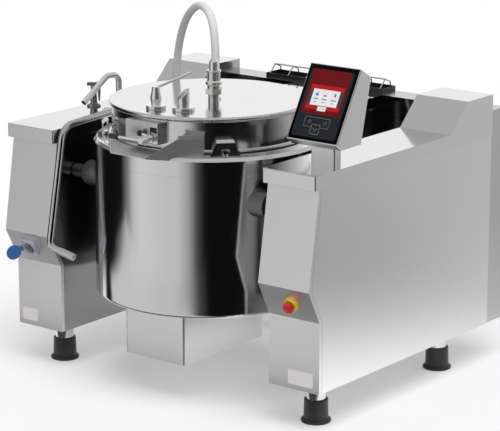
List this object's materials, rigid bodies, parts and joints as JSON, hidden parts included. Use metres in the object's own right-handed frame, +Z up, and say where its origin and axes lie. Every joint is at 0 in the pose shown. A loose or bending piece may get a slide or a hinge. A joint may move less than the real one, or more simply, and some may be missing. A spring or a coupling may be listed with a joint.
{
  "type": "tilting skillet",
  "caption": "Round gas-heated tilting skillet with a stirrer and hinged lid, hung on trunnions between two columns, with a pouring spout, water tap and display.",
  "frame": {"origin": "middle of the footprint, on the floor", "axes": "+X across the machine towards the operator's right, +Y to its back, +Z up"},
  "size_m": [1.3754, 1.35, 1.3509],
  "materials": {
    "black_sleeve": "moulded",
    "black_tray": "matt enamel",
    "brass": "turned",
    "brushed_cover": "brushed",
    "cap_blue": "moulded",
    "cast_grey": "painted",
    "chrome_fitting": "polished",
    "frame_steel": "mill",
    "gland_plastic": "moulded",
    "grip_black": "moulded",
    "hose_grey": "smooth silicone",
    "mirror_steel": "mirror polished",
    "plate_silver": "satin",
    "rim_steel": "polished",
    "scraper_plastic": "machined",
    "screen_black": "glossy",
    "seal_rubber": "moulded",
    "socket_white": "moulded",
    "stop_red": "moulded",
    "stop_yellow": "moulded",
    "turned_steel": "turned",
    "vessel_steel": "fine brushed",
    "wool": "mineral wool"
  },
  "bodies": {
    "stand": {"main_frame": "frame_steel", "front_covers": "brushed_cover", "side_covers": "brushed_cover", "inner_covers": "brushed_cover", "top_covers": "brushed_cover", "trunnion_bearings": "cast_grey", "foot_sleeves": "black_sleeve", "rear_housing": "brushed_cover", "rear_panel": "mirror_steel", "flue_cover": "mirror_steel", "flue_tray": "black_tray", "flue_guard": "turned_steel", "tilt_drive": "cast_grey", "control_cabinet": "frame_steel", "tap_body": "chrome_fitting", "tap_base": "chrome_fitting", "tap_hole_plug": "chrome_fitting", "display_housing": "brushed_cover", "display_screen": "screen_black", "display_stand": "brushed_cover", "stop_collar": "stop_yellow", "power_socket": "socket_white", "blank_plates": "plate_silver", "water_pipe": "brass", "water_inlet": "brass", "gas_inlet": "brass", "cable_gland": "gland_plastic"},
    "vessel": {"vessel_jacket": "vessel_steel", "jacket_band": "vessel_steel", "rim_ring": "rim_steel", "pan": "vessel_steel", "insulation": "wool", "burners": "frame_steel", "drive_box": "brushed_cover", "stirrer_drive": "cast_grey", "trunnions": "turned_steel", "pouring_spout": "rim_steel", "rim_lugs": "rim_steel", "lug_bolts": "turned_steel", "hinge_cheeks": "frame_steel"},
    "stirrer": {"stirrer_shaft": "turned_steel", "stirrer_arms": "turned_steel", "scrapers": "scraper_plastic"},
    "lid": {"lid_shell": "vessel_steel", "lid_gasket": "seal_rubber", "lid_hinge": "turned_steel", "lid_lever": "turned_steel", "lock_box": "rim_steel", "valve_body": "chrome_fitting", "vent_pipe": "chrome_fitting", "safety_valve": "chrome_fitting", "vent_hose": "hose_grey", "hose_fittings": "chrome_fitting"},
    "lid_lock": {"lock_spindle": "chrome_fitting", "lock_grips": "grip_black"},
    "vent_valve_lever": {"valve_lever": "chrome_fitting"},
    "tap_swivel": {"tap_spout": "chrome_fitting"},
    "tap_turn": {"tap_handle": "chrome_fitting"},
    "stop_head": {"stop_button": "stop_red"},
    "socket_cover": {"socket_cap": "cap_blue"}
  },
  "joints": [
    {"name": "vessel_tilt", "type": "hinge", "parent": "stand", "child": "vessel", "pos_m": [-0.00275, -0.405, 0.737], "axis": [1, 0, 0], "range_deg": [0, 90]},
    {"name": "lid_open", "type": "hinge", "parent": "vessel", "child": "lid", "pos_m": [-0.00275, 0.226, 0.942], "axis": [-1, 0, 0], "range_deg": [0, 90]},
    {"name": "stirrer_spin", "type": "hinge", "parent": "vessel", "child": "stirrer", "pos_m": [-0.00275, -0.219, 0.47], "axis": [0, 0, 1], "continuous": true},
    {"name": "lid_lock_turn", "type": "hinge", "parent": "lid", "child": "lid_lock", "pos_m": [0.06125, -0.618, 0.959], "axis": [0, 1, 0], "range_deg": [0, 90]},
    {"name": "vent_lever_turn", "type": "hinge", "parent": "lid", "child": "vent_valve_lever", "pos_m": [-0.02925, -0.482, 1.096], "axis": [0, 0, 1], "range_deg": [0, 90]},
    {"name": "tap_spout_swivel", "type": "hinge", "parent": "stand", "child": "tap_swivel", "pos_m": [-0.50675, -0.127, 0.926], "axis": [0, 0, 1], "range_deg": [0, 20]},
    {"name": "tap_handle_turn", "type": "hinge", "parent": "stand", "child": "tap_turn", "pos_m": [-0.55225, -0.216, 1.004], "axis": [0, 0, 1], "range_deg": [0, 90]},
    {"name": "stop_push", "type": "slide", "parent": "stand", "child": "stop_head", "axis": [0, 0.8883, 0.4592], "range_m": [0, 0.004], "stiffness_N_per_m": 800},
    {"name": "socket_cap_swing", "type": "hinge", "parent": "stand", "child": "socket_cover", "pos_m": [-0.61925, -0.54407, 0.45073], "axis": [0, -0.4592, 0.8883], "range_deg": [0, 115]}
  ]
}
